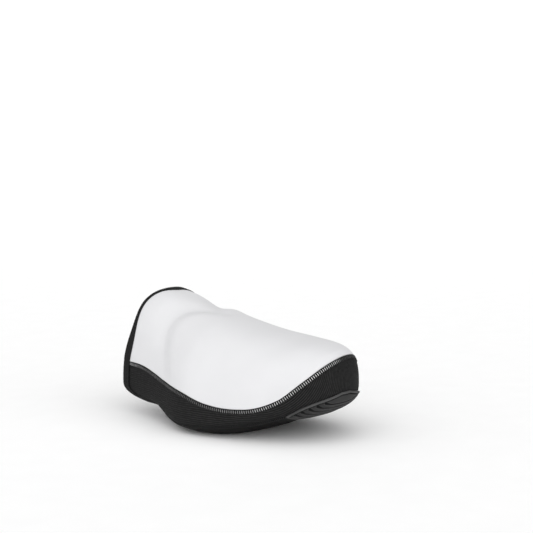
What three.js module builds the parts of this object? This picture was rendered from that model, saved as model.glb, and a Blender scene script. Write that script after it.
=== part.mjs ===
// Cycling toe cover: the right-foot one of a pair, standing on its own sole.
// Millimetres, +Z up, the toe points to -Y and the outer (little-toe) side to -X.
import * as THREE from 'three';

// ---- driving sizes --------------------------------------------------------------------------

const WALL = 1.2;          // cloth of every panel
const SEAM_GAP = 0.3;      // between two panels sewn edge to edge
const CLEARANCE = 0.4;     // between a panel and what lies on it or round it
const TAPE = 0.9;          // binding tape
const TAPE_WIDTH = 9;
const TUCK = TAPE + CLEARANCE + 0.3;   // panels end this far inside the binding's outer edge

// The form the cover is stretched to. One row per section, `back` from the tip of the toe:
// outer and inner side, height of the widest line, crown and sole, and how far the crown leans in.
const FORM = [
  { back: 0, outer: -34, inner: 49, widest: 41, crown: 63, sole: 24, lean: 4 },
  { back: 20, outer: -38, inner: 51, widest: 36, crown: 69, sole: 19, lean: 4.5 },
  { back: 45, outer: -45, inner: 52, widest: 27, crown: 72, sole: 10.5, lean: 4.5 },
  { back: 75, outer: -55, inner: 52, widest: 19, crown: 76, sole: -1, lean: 3.5 },
  { back: 105, outer: -60.5, inner: 49, widest: 16, crown: 82, sole: -2.5, lean: 4 },
  { back: 130, outer: -54, inner: 46, widest: 19, crown: 87, sole: 0.5, lean: 4 },
  { back: 150, outer: -47.5, inner: 43, widest: 22.5, crown: 91, sole: 7.5, lean: 3.5 },
  { back: 170, outer: -44, inner: 40, widest: 24, crown: 96, sole: 8, lean: 2.8 },
  { back: 200, outer: -39.5, inner: 38, widest: 27, crown: 100.5, sole: 10, lean: 3.5 },
];
const CROWN_POWER = 2.4;   // superellipse powers of a section, above and below its widest line
const SOLE_POWER = 2.7;
// How far back the toe's roundings reach: in plan, over the crown, under the sole, of the lean.
const TOE = { plan: 54, crown: 10, sole: 29, lean: 46 };
const PLAN_POWER = 2.2;

// Rear mouth: its edge at the sides, and how much shorter it is over the instep and under the arch.
const MOUTH = { side: 194, crownCut: 11.5, archCut: 33.5 };
// The mouth's line over the outer shoulder, by turn: how far it swings back, and the share of the
// tape's width that stays outside as it rolls in there.
const MOUTH_LINE = [
  { turn: 0.28, swing: 0, tape: 1 },
  { turn: 0.42, swing: -1, tape: 0.93 },
  { turn: 0.55, swing: -1.6, tape: 0.68 },
  { turn: 0.7, swing: -0.4, tape: 0.43 },
  { turn: 0.82, swing: 1.4, tape: 0.36 },
  { turn: 0.95, swing: 2.6, tape: 0.33 },
  { turn: 1.1, swing: 2.4, tape: 0.33 },
  { turn: 1.25, swing: 1.3, tape: 0.38 },
  { turn: 1.4, swing: 0.3, tape: 0.58 },
  { turn: 1.56, swing: 0, tape: 0.95 },
  { turn: 1.7, swing: 0, tape: 1 },
];

// Shallow valley between the instep and the toe box, where the shoe's flap ends underneath:
// by turn from either side, how far back it lies and how deep it is, as a share of the section.
const VALLEY = [
  { turn: 0.15, back: 128, depth: 0 },
  { turn: 0.3, back: 132, depth: 0.012 },
  { turn: 0.45, back: 137, depth: 0.024 },
  { turn: 0.6, back: 143, depth: 0.036 },
  { turn: 0.75, back: 148, depth: 0.046 },
  { turn: 0.95, back: 149, depth: 0.05 },
  { turn: 1.15, back: 144.5, depth: 0.048 },
  { turn: 1.3, back: 137.5, depth: 0.041 },
  { turn: 1.43, back: 129.5, depth: 0.038 },
  { turn: 1.53, back: 125.5, depth: 0.038 },
  { turn: 1.6, back: 125, depth: 0.038 },
];
const VALLEY_WIDTH = { before: 9, behind: 14 };       // steeper before its line than behind it
// Low shoulder before the valley.
const SHOULDER = { ahead: 17, width: 10, rise: 0.01, from: 0.25, full: 0.6 };

// Heights of the two seams of the side strip, measured `round` the toe from its middle,
// negative on the outer side: `top` meets the white panel, `low` meets the sole.
const SEAMS = [
  { round: -220, top: 42, low: 17 },
  { round: -190, top: 41.6, low: 14 },
  { round: -170, top: 38.2, low: 10 },
  { round: -150, top: 35.3, low: 6.5 },
  { round: -128, top: 32.2, low: 6 },
  { round: -105, top: 25.8, low: 8 },
  { round: -85, top: 24, low: 10.5 },
  { round: -65, top: 26.5, low: 14 },
  { round: -45, top: 34.5, low: 18.5 },
  { round: -28, top: 46.5, low: 22 },
  { round: -12, top: 56.5, low: 25 },
  { round: 4, top: 61.5, low: 26 },
  { round: 20, top: 62, low: 25 },
  { round: 36, top: 56.5, low: 22.5 },
  { round: 60, top: 49, low: 17 },
  { round: 85, top: 38, low: 10.5 },
  { round: 110, top: 30, low: 7 },
  { round: 135, top: 28, low: 6 },
  { round: 165, top: 36, low: 9 },
  { round: 190, top: 41, low: 14 },
  { round: 220, top: 42, low: 17 },
];
const FAN_BACK = 54;       // the seams turn round this point of the centre line
const FAN_ROUND = 78;      // and a quarter turn of them counts as this much

// Opening for the cleat, a superellipse in plan.
const CLEAT = { x: -5, back: 104, halfWidth: 29, halfLength: 33, power: 3.2 };

// Rubber toe grip. Under the toe the form rolls from upright to level as `roll` goes from 0 to a
// quarter turn; the grip and its cross ribs are set out along that roll.
const GRIP = { x: 8, from: 0.2, to: 1.52, halfWidth: 34, power: 1.9, thick: 0.7 };
const RIB = { from: 0.46, pitch: 0.175, land: 0.115, bevel: 0.012, count: 6, height: 0.7 };
const BORDER = { width: 1.8, bevel: 0.4, roll: 0.08 };

// Mesh counts.
const ACROSS = 28;         // columns over the white panel
const ALONG = 19;          // stations along each side
const STRIP_ROWS = 6;
const SOLE_ROWS = 6;
const MOUTH_STATIONS = 28;
const ARCH_STATIONS = 18;
const GRIP_COLUMNS = 10;

// Colours.
const WHITE = { color: 0xe9eaee, roughness: 0.55, metalness: 0 };
const BLACK_KNIT = { color: 0x1b1b1c, roughness: 0.85, metalness: 0 };
const BLACK_SOLE = { color: 0x171718, roughness: 0.9, metalness: 0 };
const BLACK_TAPE = { color: 0x131314, roughness: 0.8, metalness: 0 };
const RUBBER = { color: 0x2b2b2d, roughness: 0.6, metalness: 0 };

// ---- smooth tables --------------------------------------------------------------------------

const mix = (a, b, t) => a + (b - a) * t;
const clamp01 = (t) => Math.min(1, Math.max(0, t));
const smooth = (t) => clamp01(t) ** 2 * (3 - 2 * clamp01(t));

/** A smooth curve through one column of a table, straight past its two ends. */
function lookUp(table, key, column, at) {
  const last = table.length - 1;
  let i = table.findIndex((row) => row[key] > at) - 1;
  if (i < 0) i = at < table[0][key] ? 0 : last - 1;
  const rise = (k) => (table[k + 1][column] - table[k][column]) / (table[k + 1][key] - table[k][key]);
  const slope = (k) => {
    if (k === 0) return rise(0);
    if (k === last) return rise(last - 1);
    const before = table[k][key] - table[k - 1][key];
    const after = table[k + 1][key] - table[k][key];
    return (rise(k - 1) * after + rise(k) * before) / (before + after);
  };
  const span = table[i + 1][key] - table[i][key];
  const t = (at - table[i][key]) / span;
  const [y0, y1] = [table[i][column], table[i + 1][column]];
  const [m0, m1] = [slope(i), slope(i + 1)];
  if (t < 0) return y0 + m0 * span * t;
  if (t > 1) return y1 + m1 * span * (t - 1);
  return y0 + t * t * (3 - 2 * t) * (y1 - y0)
    + t * (1 - t) * ((1 - t) * m0 - t * m1) * span;
}

/** Rises from 0 at the tip to 1 at `reach`, as a rounded end does. */
function rounded(back, reach, power) {
  const left = 1 - clamp01(back / reach);
  return (1 - left ** power) ** (1 / power);
}

// ---- the form -------------------------------------------------------------------------------

function section(back) {
  const row = (column) => lookUp(FORM, 'back', column, back);
  const widest = row('widest');
  return {
    centre: (row('outer') + row('inner')) / 2,
    half: (row('inner') - row('outer')) / 2 * rounded(back, TOE.plan, PLAN_POWER),
    widest,
    rise: (row('crown') - widest) * rounded(back, TOE.crown, 2),
    drop: (widest - row('sole')) * rounded(back, TOE.sole, 2),
    lean: row('lean') * rounded(back, TOE.lean, 2),
  };
}

/** Cosine and sine of `turn`, pushed out to the section's superellipse. */
function squared(turn) {
  const [c, s] = [Math.cos(turn), Math.sin(turn)];
  const power = s >= 0 ? CROWN_POWER : SOLE_POWER;
  const reach = (Math.abs(c) ** power + Math.abs(s) ** power) ** (-1 / power);
  return [c * reach, s * reach];
}

function valley(back, turn) {
  const fromSide = Math.min(turn, Math.PI - turn);
  const row = (column) => lookUp(VALLEY, 'turn', column, Math.max(fromSide, VALLEY[0].turn));
  const behind = back - row('back');
  const before = mix(VALLEY_WIDTH.before, VALLEY_WIDTH.behind, Math.sin(turn) ** 8);
  const width = behind < 0 ? before : VALLEY_WIDTH.behind;
  const rise = SHOULDER.rise * smooth((fromSide - SHOULDER.from) / (SHOULDER.full - SHOULDER.from));
  const shoulder = rise * Math.exp(-(((behind + SHOULDER.ahead) / SHOULDER.width) ** 2));
  return row('depth') * Math.exp(-((behind / width) ** 2)) - shoulder;
}

/** Outer surface. `turn` is 0 on the outer side, a quarter turn on the crown, minus that on the sole. */
function skin(back, turn) {
  const at = section(back);
  let [c, t] = squared(turn);
  if (t > 0) {
    const sunk = 1 - valley(back, turn);
    c *= sunk;
    t *= sunk;
  }
  const x = at.centre - at.half * c + (t > 0 ? at.lean * t * t : 0);
  const z = at.widest + (t > 0 ? at.rise : at.drop) * t;
  return new THREE.Vector3(x, back, Math.max(z, 0));
}

/** The turn at which the section has height z, on the outer (-1) or inner (1) side. */
function turnAt(back, z, side) {
  const at = section(back);
  const up = z >= at.widest;
  const t = Math.min(1, Math.abs(z - at.widest) / (up ? at.rise : at.drop));
  const power = up ? CROWN_POWER : SOLE_POWER;
  const turn = Math.atan2(up ? t : -t, (1 - t ** power) ** (1 / power));
  return side < 0 ? turn : Math.PI - turn;
}

function isInside(x, back, z) {
  if (back <= 0) return false;
  const at = section(back);
  const up = z >= at.widest;
  const t = Math.abs(z - at.widest) / (up ? at.rise : at.drop);
  if (t >= 1) return false;
  const power = up ? CROWN_POWER : SOLE_POWER;
  const shift = up ? at.lean * t * t : 0;
  return Math.abs(x - at.centre - shift) < at.half * (1 - t ** power) ** (1 / power);
}

/** Where a level line, fanned round the toe by `round`, leaves the form at height z. */
function fanPoint(round, z) {
  const angle = round / FAN_ROUND * Math.PI / 2;
  const centre = section(FAN_BACK).centre;
  const along = (r) => [centre + r * Math.sin(angle), FAN_BACK - r * Math.cos(angle)];
  let [inside, outside] = [0, 90];
  for (let i = 0; i < 40; i++) {
    const r = (inside + outside) / 2;
    if (isInside(...along(r), z)) inside = r;
    else outside = r;
  }
  const [x, back] = along(inside);
  return new THREE.Vector3(x, back, z);
}

/** Outward normal of the outer surface, from its slopes. */
function normalAt(back, turn) {
  const step = 0.02;
  const forward = skin(back + step, turn).sub(skin(Math.max(back - step, 0.001), turn));
  const around = skin(back, turn + step / 20).sub(skin(back, turn - step / 20));
  return around.cross(forward).normalize();
}

/** The turn of a point of the outer surface. */
function turnOf(point) {
  const at = section(point.y);
  const up = point.z >= at.widest;
  const t = (point.z - at.widest) / (up ? at.rise : at.drop);
  const c = -(point.x - at.centre - (up ? at.lean * t * t : 0)) / at.half;
  return Math.atan2(t, c);
}

/** The turn of the sole's surface at a place in plan. */
function soleTurn(back, x) {
  const at = section(back);
  const across = (x - at.centre) / at.half;
  const t = (1 - Math.min(1, Math.abs(across)) ** SOLE_POWER) ** (1 / SOLE_POWER);
  return Math.atan2(-t, -across);
}

const onSkin = (back, turn) => ({ back, turn, point: skin(back, turn), normal: normalAt(back, turn) });

// ---- the mouth ------------------------------------------------------------------------------

function mouthLine(turn, column) {
  const last = MOUTH_LINE[MOUTH_LINE.length - 1].turn;
  return lookUp(MOUTH_LINE, 'turn', column, Math.min(Math.max(turn, MOUTH_LINE[0].turn), last));
}

function mouthEdge(turn) {
  const t = squared(turn)[1];
  const level = MOUTH.side - (t > 0 ? MOUTH.crownCut * t ** 2 : MOUTH.archCut * -(t ** 3));
  return level + mouthLine(turn, 'swing');
}

/** `back` at a distance from the mouth's edge, measured square to that edge. */
function fromMouth(turn, distance) {
  const step = 0.01;
  const edge = mouthEdge(turn);
  const length = skin(edge, turn + step).distanceTo(skin(edge, turn - step));
  const slant = (mouthEdge(turn + step) - mouthEdge(turn - step)) / length;
  return edge - distance * Math.hypot(1, slant);
}

// ---- seams and stations ---------------------------------------------------------------------

const seamHeight = (round, v) => mix(lookUp(SEAMS, 'round', 'low', round),
  lookUp(SEAMS, 'round', 'top', round), v);

const roundAt = (back, side) => side * (FAN_ROUND + back - FAN_BACK);

/** Point of the side strip: `v` is 0 on the low seam and 1 on the top one. */
function sidePoint(side, along, v, shift) {
  const heightAt = (back) => seamHeight(roundAt(back, side), v) + shift;
  let end = MOUTH.side;
  for (let i = 0; i < 12; i++) end = fromMouth(turnAt(end, heightAt(end), side), TUCK);
  const back = mix(FAN_BACK, end, along);
  const turn = turnAt(back, heightAt(back), side);
  return onSkin(back, turn);
}

/** All stations round the toe, from the outer side's mouth to the inner side's. */
function stripPoint(station, v, shift = 0) {
  const last = 2 * ALONG + ACROSS;
  if (station < ALONG) return sidePoint(-1, 1 - station / ALONG, v, shift);
  if (station > last - ALONG) return sidePoint(1, 1 - (last - station) / ALONG, v, shift);
  const round = mix(-FAN_ROUND, FAN_ROUND, (station - ALONG) / ACROSS);
  const point = fanPoint(round, seamHeight(round, v) + shift);
  return onSkin(point.y, turnOf(point));
}

// ---- solids ---------------------------------------------------------------------------------

/** One closed mesh from vertices and triangles, with its faces turned outward. */
function solid(name, look, vertices, triangles) {
  let volume = 0;
  for (const [a, b, c] of triangles) {
    volume += vertices[a].dot(vertices[b].clone().cross(vertices[c])) / 6;
  }
  const faces = volume < 0 ? triangles.map(([a, b, c]) => [a, c, b]) : triangles;
  const geometry = new THREE.BufferGeometry();
  const positions = vertices.flatMap((v) => [v.x, v.y, v.z]);
  geometry.setAttribute('position', new THREE.Float32BufferAttribute(positions, 3));
  geometry.setIndex(faces.flat());
  geometry.computeVertexNormals();
  const mesh = new THREE.Mesh(geometry, new THREE.MeshStandardMaterial(look));
  mesh.name = name;
  return mesh;
}

/** The quads of a grid of vertex numbers; `closed` joins the last column to the first. */
function gridTriangles(number, columns, rows, closed = false) {
  const out = [];
  for (let i = 0; i < columns - (closed ? 0 : 1); i++) {
    for (let j = 0; j < rows - 1; j++) {
      const k = (i + 1) % columns;
      const [a, b, c, d] = [number(i, j), number(k, j), number(k, j + 1), number(i, j + 1)];
      out.push([a, b, c], [a, c, d]);
    }
  }
  return out;
}

/**
 * A cloth panel. `grid[i][j]` holds points and normals of the outer surface; `over` and `under`
 * give how far the two faces lie from it at a vertex.
 */
function panel(name, look, grid, closed, over = () => 0, under = () => -WALL) {
  const [columns, rows] = [grid.length, grid[0].length];
  const lifted = (lift) => grid.flatMap((line, i) => line.map(
    ({ point, normal }, j) => point.clone().addScaledVector(normal, lift(i, j))));
  const count = columns * rows;
  const top = (i, j) => i * rows + j;
  const bottom = (i, j) => count + i * rows + j;
  const triangles = gridTriangles(top, columns, rows, closed);
  triangles.push(...gridTriangles(bottom, columns, rows, closed).map(([a, b, c]) => [a, c, b]));
  const wall = (i0, j0, i1, j1) => {
    const [a, b, c, d] = [top(i0, j0), top(i1, j1), bottom(i1, j1), bottom(i0, j0)];
    triangles.push([a, c, b], [a, d, c]);
  };
  for (let i = 0; i < columns - (closed ? 0 : 1); i++) {
    const k = (i + 1) % columns;
    wall(i, 0, k, 0);
    wall(k, rows - 1, i, rows - 1);
  }
  if (!closed) {
    for (let j = 0; j < rows - 1; j++) {
      wall(0, j + 1, 0, j);
      wall(columns - 1, j, columns - 1, j + 1);
    }
  }
  return solid(name, look, [...lifted(over), ...lifted(under)], triangles);
}

// ---- the pieces -----------------------------------------------------------------------------

/** White panel over toe and instep: a four-sided patch whose front side follows the toe. */
function upperPanel() {
  const shift = SEAM_GAP / 2;
  const frontHalf = Math.round(ACROSS * 0.3);
  const first = ALONG + ACROSS / 2 - frontHalf;
  const last = ALONG + ACROSS / 2 + frontHalf;
  const place = (station) => {
    const { back, turn } = stripPoint(station, 1, shift);
    return [back, turn];
  };
  const columns = last - first;
  const rows = first;
  const [outerEnd, innerEnd] = [place(0), place(2 * ALONG + ACROSS)];
  const rear = (t) => {
    const turn = mix(outerEnd[1], innerEnd[1], t);
    return [fromMouth(turn, TUCK), turn];
  };
  const patch = (i, j) => {
    const [t, r] = [i / columns, j / rows];
    const [front, back] = [place(first + i), rear(t)];
    const [outer, inner] = [place(first - j), place(last + j)];
    const [fo, fi] = [place(first), place(last)];
    return [0, 1].map((k) => mix(front[k], back[k], r) + mix(outer[k], inner[k], t)
      - mix(mix(fo[k], fi[k], t), mix(outerEnd[k], innerEnd[k], t), r));
  };
  const grid = [];
  for (let i = 0; i <= columns; i++) {
    grid.push([]);
    for (let j = 0; j <= rows; j++) grid[i].push(onSkin(...patch(i, j)));
  }
  return panel('upper_panel', WHITE, grid, false);
}

/** Ribbed strip round the sides and the toe. */
function sideStrip() {
  const grid = [];
  for (let station = 0; station <= 2 * ALONG + ACROSS; station++) {
    grid.push([]);
    for (let row = 0; row <= STRIP_ROWS; row++) {
      const v = row / STRIP_ROWS;
      grid[station].push(stripPoint(station, v, mix(1, -1, v) * SEAM_GAP / 2));
    }
  }
  return panel('side_strip', BLACK_KNIT, grid, false);
}

/** Sole panel: a ring between the strip's low seam, the mouth and the cleat opening. */
function solePanel() {
  const rim = [];
  const last = 2 * ALONG + ACROSS;
  for (let station = 0; station <= last; station++) rim.push(stripPoint(station, 0, -SEAM_GAP / 2));
  const [start, end] = [rim[last].turn, rim[0].turn + 2 * Math.PI];
  for (let k = 1; k < ARCH_STATIONS; k++) {
    const turn = mix(start, end, k / ARCH_STATIONS);
    rim.push(onSkin(fromMouth(turn, TUCK), turn));
  }
  const grid = rim.map((edge) => {
    const away = new THREE.Vector2(edge.point.x - CLEAT.x, edge.point.y - CLEAT.back);
    const reach = (Math.abs(away.x / CLEAT.halfWidth) ** CLEAT.power
      + Math.abs(away.y / CLEAT.halfLength) ** CLEAT.power) ** (-1 / CLEAT.power);
    const line = [];
    for (let row = 0; row < SOLE_ROWS; row++) {
      const k = mix(reach, 1, row / SOLE_ROWS);
      const back = CLEAT.back + away.y * k;
      line.push(onSkin(back, soleTurn(back, CLEAT.x + away.x * k)));
    }
    line.push(edge);
    return line;
  });
  return panel('sole_panel', BLACK_SOLE, grid, true);
}

/** Folded tape round the whole mouth; each station is a U that the panels' edges stand in. */
function rearBinding() {
  const turns = [];
  for (let row = 0; row <= STRIP_ROWS; row++) turns.push(sidePoint(-1, 1, row / STRIP_ROWS, 0).turn);
  const outerTop = turns[STRIP_ROWS];
  const innerTop = sidePoint(1, 1, 1, 0).turn;
  for (let k = 1; k < MOUTH_STATIONS; k++) turns.push(mix(outerTop, innerTop, k / MOUTH_STATIONS));
  for (let row = STRIP_ROWS; row >= 0; row--) turns.push(sidePoint(1, 1, row / STRIP_ROWS, 0).turn);
  const [start, end] = [turns[turns.length - 1], turns[0] + 2 * Math.PI];
  for (let k = 1; k < ARCH_STATIONS; k++) turns.push(mix(start, end, k / ARCH_STATIONS));
  const [slot, face] = [CLEARANCE, CLEARANCE + TAPE];
  const fold = TAPE + 0.1;
  const profile = [
    [TAPE_WIDTH, slot], [TAPE_WIDTH, face], [TAPE_WIDTH / 2, face], [fold / 2, face],
    [0, -WALL / 2],
    [fold / 2, -WALL - face], [TAPE_WIDTH / 2, -WALL - face], [TAPE_WIDTH, -WALL - face],
    [TAPE_WIDTH, -WALL - slot], [TAPE_WIDTH / 2, -WALL - slot], [fold, -WALL - slot],
    [fold, slot], [TAPE_WIDTH / 2, slot],
  ];
  const vertices = turns.flatMap((turn) => profile.map(([distance, lift]) => {
    const inside = distance > fold ? mix(fold, distance, mouthLine(turn, 'tape')) : distance;
    const { point, normal } = onSkin(fromMouth(turn, inside), turn);
    return point.addScaledVector(normal, lift);
  }));
  const count = profile.length;
  const number = (i, j) => i * count + j % count;
  const triangles = gridTriangles(number, turns.length, count + 1, true);
  return solid('rear_binding', BLACK_TAPE, vertices, triangles);
}

/** Rubber grip wrapped under the toe, with a raised border and cross ribs. */
function toeGrip() {
  const high = (roll, raised) => ({ roll, raised });
  const lines = [high(GRIP.from, true), high(GRIP.from + BORDER.roll, true)];
  for (let k = 0; k < RIB.count; k++) {
    const start = RIB.from + k * RIB.pitch;
    lines.push(high(start, false), high(start + RIB.bevel, true));
    lines.push(high(start + RIB.land - RIB.bevel, true), high(start + RIB.land, false));
  }
  lines.push(high(GRIP.to - BORDER.roll, true), high(GRIP.to, true));
  const backOf = (roll) => TOE.sole * (1 - Math.cos(roll));
  const reach = backOf(GRIP.to);
  const halfAt = (roll) => GRIP.halfWidth * rounded(backOf(roll) - backOf(GRIP.from) + 0.25, reach, GRIP.power);
  const grid = lines.map(({ roll }) => {
    const [back, half] = [backOf(roll), halfAt(roll)];
    const border = Math.min(BORDER.width, half * 0.3);
    const inset = Math.min(BORDER.width + BORDER.bevel, half * 0.4);
    const offsets = [-half, -half + border];
    for (let k = 0; k <= GRIP_COLUMNS; k++) offsets.push(mix(-half + inset, half - inset, k / GRIP_COLUMNS));
    offsets.push(half - border, half);
    return offsets.map((offset) => onSkin(back, soleTurn(back, GRIP.x + offset)));
  });
  const lastColumn = grid[0].length - 1;
  const over = (i, j) => CLEARANCE + GRIP.thick
    + (lines[i].raised || j < 2 || j > lastColumn - 2 ? RIB.height : 0);
  return panel('toe_grip', RUBBER, grid, false, over, () => CLEARANCE);
}

// ---- assembly, standing at the origin -------------------------------------------------------

const part = new THREE.Group();
part.add(upperPanel(), sideStrip(), solePanel(), rearBinding(), toeGrip());
const box = new THREE.Box3().setFromObject(part);
const middle = box.getCenter(new THREE.Vector3());
part.position.set(-middle.x, -middle.y, -box.min.z);

export default part;
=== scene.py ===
"""Cycling toe cover, right foot, dressed over its CAD frame. Metres; the form's tables are in mm."""
import math

import bpy
import numpy as np
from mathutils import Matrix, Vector


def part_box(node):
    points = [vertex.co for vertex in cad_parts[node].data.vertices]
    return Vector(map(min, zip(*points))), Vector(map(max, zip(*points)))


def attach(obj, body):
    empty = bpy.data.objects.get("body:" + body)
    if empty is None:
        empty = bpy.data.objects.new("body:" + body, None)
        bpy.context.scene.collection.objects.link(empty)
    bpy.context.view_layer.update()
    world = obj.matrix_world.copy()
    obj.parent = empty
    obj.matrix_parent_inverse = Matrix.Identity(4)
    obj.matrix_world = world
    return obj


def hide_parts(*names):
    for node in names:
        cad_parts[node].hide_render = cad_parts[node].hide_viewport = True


MM = 0.001
QUARTER = math.pi / 2

# ---- the form, as in the part's source --------------------------------------------------------

# One row per section: distance back from the toe's tip, outer and inner side, height of the widest
# line, of the crown and of the sole, and how far the crown leans in.
FORM_COLUMNS = ["back", "outer", "inner", "widest", "crown", "sole", "lean"]
FORM = np.array([
    [0, -34, 49, 41, 63, 24, 4],
    [20, -38, 51, 36, 69, 19, 4.5],
    [45, -45, 52, 27, 72, 10.5, 4.5],
    [75, -55, 52, 19, 76, -1, 3.5],
    [105, -60.5, 49, 16, 82, -2.5, 4],
    [130, -54, 46, 19, 87, 0.5, 4],
    [150, -47.5, 43, 22.5, 91, 7.5, 3.5],
    [170, -44, 40, 24, 96, 8, 2.8],
    [200, -39.5, 38, 27, 100.5, 10, 3.5],
])
CROWN_POWER, SOLE_POWER = 2.4, 2.7
TOE_PLAN, TOE_CROWN, TOE_SOLE, TOE_LEAN = 54, 10, 29, 46
PLAN_POWER = 2.2
MOUTH_SIDE, CROWN_CUT, ARCH_CUT = 194, 11.5, 33.5

# Shallow valley behind the toe box, where the shoe's flap ends underneath: how far back and how
# deep, as a share of the section, by turn from either side.
VALLEY_COLUMNS = ["turn", "back", "depth"]
VALLEY = np.array([
    [0.15, 128, 0],
    [0.3, 132, 0.012],
    [0.45, 137, 0.024],
    [0.6, 143, 0.036],
    [0.75, 148, 0.046],
    [0.95, 149, 0.05],
    [1.15, 144.5, 0.048],
    [1.3, 137.5, 0.041],
    [1.43, 129.5, 0.038],
    [1.53, 125.5, 0.038],
    [1.6, 125, 0.038],
])
VALLEY_BEFORE, VALLEY_BEHIND = 9, 14
SHOULDER = dict(ahead=17, width=10, rise=0.01, start=0.25, full=0.6)

# Heights of the side strip's two seams, measured round the toe, negative on the outer side.
SEAM_COLUMNS = ["round", "top", "low"]
SEAMS = np.array([
    [-220, 42, 17],
    [-190, 41.6, 14],
    [-170, 38.2, 10],
    [-150, 35.3, 6.5],
    [-128, 32.2, 6],
    [-105, 25.8, 8],
    [-85, 24, 10.5],
    [-65, 26.5, 14],
    [-45, 34.5, 18.5],
    [-28, 46.5, 22],
    [-12, 56.5, 25],
    [4, 61.5, 26],
    [20, 62, 25],
    [36, 56.5, 22.5],
    [60, 49, 17],
    [85, 38, 10.5],
    [110, 30, 7],
    [135, 28, 6],
    [165, 36, 9],
    [190, 41, 14],
    [220, 42, 17],
])
FAN_BACK, FAN_ROUND = 54, 78
CLEAT = dict(x=-5, back=104, half_width=29, half_length=33, power=3.2)
# The mouth's line over the outer shoulder, by turn: how far it swings back, and the share of the
# tape's width that stays outside as it rolls in there.
MOUTH_COLUMNS = ["turn", "swing", "tape"]
MOUTH = np.array([
    [0.28, 0, 1],
    [0.42, -1, 0.93],
    [0.55, -1.6, 0.68],
    [0.7, -0.4, 0.43],
    [0.82, 1.4, 0.36],
    [0.95, 2.6, 0.33],
    [1.1, 2.4, 0.33],
    [1.25, 1.3, 0.38],
    [1.4, 0.3, 0.58],
    [1.56, 0, 0.95],
    [1.7, 0, 1],
])
WALL, TAPE_WIDTH = 1.2, 9
TUCK = 1.6                 # panels end this far inside the binding's outer edge

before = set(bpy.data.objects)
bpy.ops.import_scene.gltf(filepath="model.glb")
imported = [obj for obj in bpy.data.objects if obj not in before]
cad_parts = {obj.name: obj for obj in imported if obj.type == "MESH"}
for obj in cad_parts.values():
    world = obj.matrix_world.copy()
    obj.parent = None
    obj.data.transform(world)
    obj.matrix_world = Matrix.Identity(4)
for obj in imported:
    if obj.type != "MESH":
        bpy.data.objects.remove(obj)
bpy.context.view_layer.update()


def mix(a, b, t):
    return a + (b - a) * t


def smooth(t):
    t = np.clip(t, 0, 1)
    return t * t * (3 - 2 * t)


def look_up(table, columns, column, at):
    """A smooth curve through one column of a table, straight past its two ends."""
    x, y = table[:, 0], table[:, columns.index(column)]
    at = np.asarray(at, float)
    span, rise = np.diff(x), np.diff(y) / np.diff(x)
    slope = np.empty(len(x))
    slope[0], slope[-1] = rise[0], rise[-1]
    slope[1:-1] = (rise[:-1] * span[1:] + rise[1:] * span[:-1]) / (span[1:] + span[:-1])
    i = np.clip(np.searchsorted(x, at, "right") - 1, 0, len(x) - 2)
    t = (at - x[i]) / span[i]
    k = np.clip(t, 0, 1)
    curve = y[i] + k * k * (3 - 2 * k) * (y[i + 1] - y[i])
    curve += k * (1 - k) * ((1 - k) * slope[i] - k * slope[i + 1]) * span[i]
    return curve + (np.minimum(t, 0) * slope[0] + np.maximum(t - 1, 0) * slope[-1]) * span[i]


def rounded(back, reach, power):
    """Rises from 0 at the tip to 1 at reach, as a rounded end does."""
    left = 1 - np.clip(back / reach, 0, 1)
    return (1 - left**power) ** (1 / power)


def section(back):
    row = lambda column: look_up(FORM, FORM_COLUMNS, column, back)
    widest = row("widest")
    return dict(
        centre=(row("outer") + row("inner")) / 2,
        half=(row("inner") - row("outer")) / 2 * rounded(back, TOE_PLAN, PLAN_POWER),
        widest=widest,
        rise=(row("crown") - widest) * rounded(back, TOE_CROWN, 2),
        drop=(widest - row("sole")) * rounded(back, TOE_SOLE, 2),
        lean=row("lean") * rounded(back, TOE_LEAN, 2),
    )


def squared(turn):
    """Cosine and sine of turn, pushed out to the section's superellipse."""
    c, s = np.cos(turn), np.sin(turn)
    power = np.where(s >= 0, CROWN_POWER, SOLE_POWER)
    reach = (np.abs(c) ** power + np.abs(s) ** power) ** (-1 / power)
    return c * reach, s * reach


def valley(back, turn):
    from_side = np.minimum(turn, math.pi - turn)
    at = lambda column: look_up(VALLEY, VALLEY_COLUMNS, column, np.maximum(from_side, VALLEY[0, 0]))
    behind = back - at("back")
    before = mix(VALLEY_BEFORE, VALLEY_BEHIND, np.sin(turn) ** 8)
    width = np.where(behind < 0, before, VALLEY_BEHIND)
    shoulder = np.exp(-(((behind + SHOULDER["ahead"]) / SHOULDER["width"]) ** 2)) * SHOULDER["rise"]
    shoulder *= smooth((from_side - SHOULDER["start"]) / (SHOULDER["full"] - SHOULDER["start"]))
    return at("depth") * np.exp(-((behind / width) ** 2)) - shoulder


def skin(back, turn):
    """Outer surface: turn is 0 on the outer side, a quarter turn on the crown, minus that below."""
    back, turn = np.broadcast_arrays(np.asarray(back, float), np.asarray(turn, float))
    at = section(back)
    c, t = squared(turn)
    up = t > 0
    sunk = np.where(up, 1 - valley(back, turn), 1)
    c, t = c * sunk, t * sunk
    x = at["centre"] - at["half"] * c + np.where(up, at["lean"] * t * t, 0)
    z = at["widest"] + np.where(up, at["rise"], at["drop"]) * t
    return np.stack([x, back, np.maximum(z, 0)], -1)


def unit(v):
    return v / np.maximum(np.linalg.norm(v, axis=-1, keepdims=True), 1e-12)


def normal(back, turn):
    step = 0.02
    forward = skin(back + step, turn) - skin(np.maximum(back - step, 0.001), turn)
    around = skin(back, turn + step / 20) - skin(back, turn - step / 20)
    return unit(np.cross(around, forward))


def turn_at(back, z, side):
    at = section(back)
    up = z >= at["widest"]
    t = np.minimum(1, np.abs(z - at["widest"]) / np.where(up, at["rise"], at["drop"]))
    power = np.where(up, CROWN_POWER, SOLE_POWER)
    turn = np.arctan2(np.where(up, t, -t), (1 - t**power) ** (1 / power))
    return turn if side < 0 else math.pi - turn


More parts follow.
